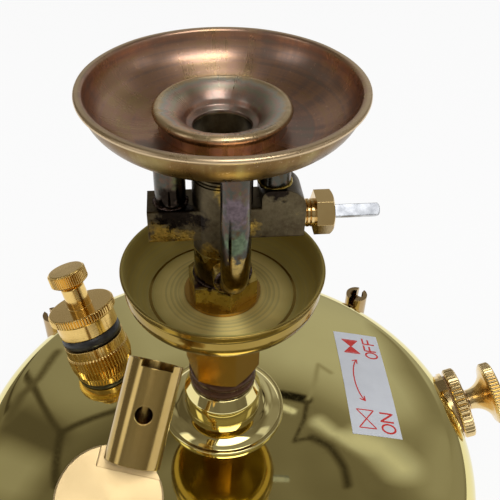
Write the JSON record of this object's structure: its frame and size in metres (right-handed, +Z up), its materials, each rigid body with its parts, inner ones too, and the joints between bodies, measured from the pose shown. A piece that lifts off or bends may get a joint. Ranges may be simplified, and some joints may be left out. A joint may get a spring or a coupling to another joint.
{
  "type": "kerosene pressure stove",
  "caption": "Brass kerosene pressure stove: polished round tank with pump, filler cap and preheating torch, a spirit cup and a dished roarer-type burner on vapour tubes.",
  "frame": {"origin": "on the floor under the upright axis of the tank and burner", "axes": "+Z up along the burner axis, +X towards the pump, -Y the front"},
  "size_m": [0.2424, 0.217, 0.232],
  "materials": {
    "tank_brass": "mirror polished",
    "turned_brass": "turned, fine tool lines",
    "spun_brass": "spun, satin inside and polished outside",
    "heated_brass": "heat tinted from firing",
    "fired_brass": "dark from soldering and firing",
    "steel": "drawn steel",
    "black_rubber": "oil-proof rubber",
    "oiled_leather": "oiled leather",
    "label_film": "printed film"
  },
  "bodies": {
    "stove": {"bar_plug": "turned_brass", "base_ring": "tank_brass", "burner_base": "fired_brass", "burner_block": "fired_brass", "burner_bowl": "heated_brass", "check_valve_body": "turned_brass", "check_valve_pip": "black_rubber", "check_valve_spring": "steel", "cup_washer": "turned_brass", "falling_tube_left": "fired_brass", "falling_tube_right": "fired_brass", "filler_neck": "turned_brass", "flame_ring": "heated_brass", "gland_nut": "turned_brass", "gland_packing": "black_rubber", "label": "label_film", "nozzle": "turned_brass", "nozzle_carrier": "turned_brass", "pickup_strainer": "turned_brass", "pickup_tube": "turned_brass", "pump_barrel": "turned_brass", "pump_cap": "turned_brass", "pump_collar": "turned_brass", "pump_gasket": "black_rubber", "riser_boss": "tank_brass", "riser_gasket": "black_rubber", "riser_neck": "turned_brass", "rising_tube_front": "fired_brass", "rising_tube_rear": "fired_brass", "socket_135": "turned_brass", "socket_225": "turned_brass", "socket_315": "turned_brass", "socket_45": "turned_brass", "spirit_cup": "spun_brass", "tank_lower_shell": "tank_brass", "tank_upper_shell": "tank_brass", "torch_drum": "turned_brass", "torch_foot": "turned_brass", "torch_gland": "turned_brass", "torch_jet": "turned_brass", "torch_stem": "turned_brass", "torch_tube": "turned_brass", "vapour_ring": "heated_brass"},
    "filler_cap": {"filler_cap": "turned_brass", "filler_gasket": "black_rubber"},
    "release_screw": {"release_screw": "turned_brass", "release_pip": "black_rubber"},
    "pump_rod": {"pump_rod": "steel", "pump_knob": "turned_brass", "piston_washer": "turned_brass", "pump_leather": "oiled_leather", "piston_nut": "turned_brass"},
    "regulator": {"regulator_spindle": "steel"},
    "needle": {"cleaning_needle": "steel"},
    "torch_valve": {"torch_spindle": "steel", "torch_knob": "turned_brass"}
  },
  "joints": [
    {"name": "pump_stroke", "type": "slide", "parent": "stove", "child": "pump_rod", "axis": [0.9361, 0.0819, 0.342], "range_m": [0, 0.062]},
    {"name": "filler_cap_lift", "type": "slide", "parent": "stove", "child": "filler_cap", "axis": [-0.2794, 0.2615, 0.9239], "range_m": [0, 0.06]},
    {"name": "release_screw_turn", "type": "hinge", "parent": "filler_cap", "child": "release_screw", "pos_m": [-0.0681, 0.04561, 0.11735], "axis": [-0.2794, 0.2615, 0.9239], "range_deg": [0, 540]},
    {"name": "regulator_turn", "type": "hinge", "parent": "stove", "child": "regulator", "pos_m": [0, 0, 0.1847], "axis": [0.9976, 0.0698, 0], "range_deg": [-153, 3]},
    {"name": "needle_lift", "type": "slide", "parent": "stove", "child": "needle", "axis": [0, 0, 1], "range_m": [0, 0.00524]},
    {"name": "torch_valve_turn", "type": "hinge", "parent": "stove", "child": "torch_valve", "pos_m": [-0.03796, -0.08706, 0.12065], "axis": [-0.1982, -0.8555, -0.4783], "range_deg": [0, 450]}
  ],
  "couplings": [
    {"joint": "regulator_turn", "follows": "needle_lift", "rad_per_m": -500}
  ]
}
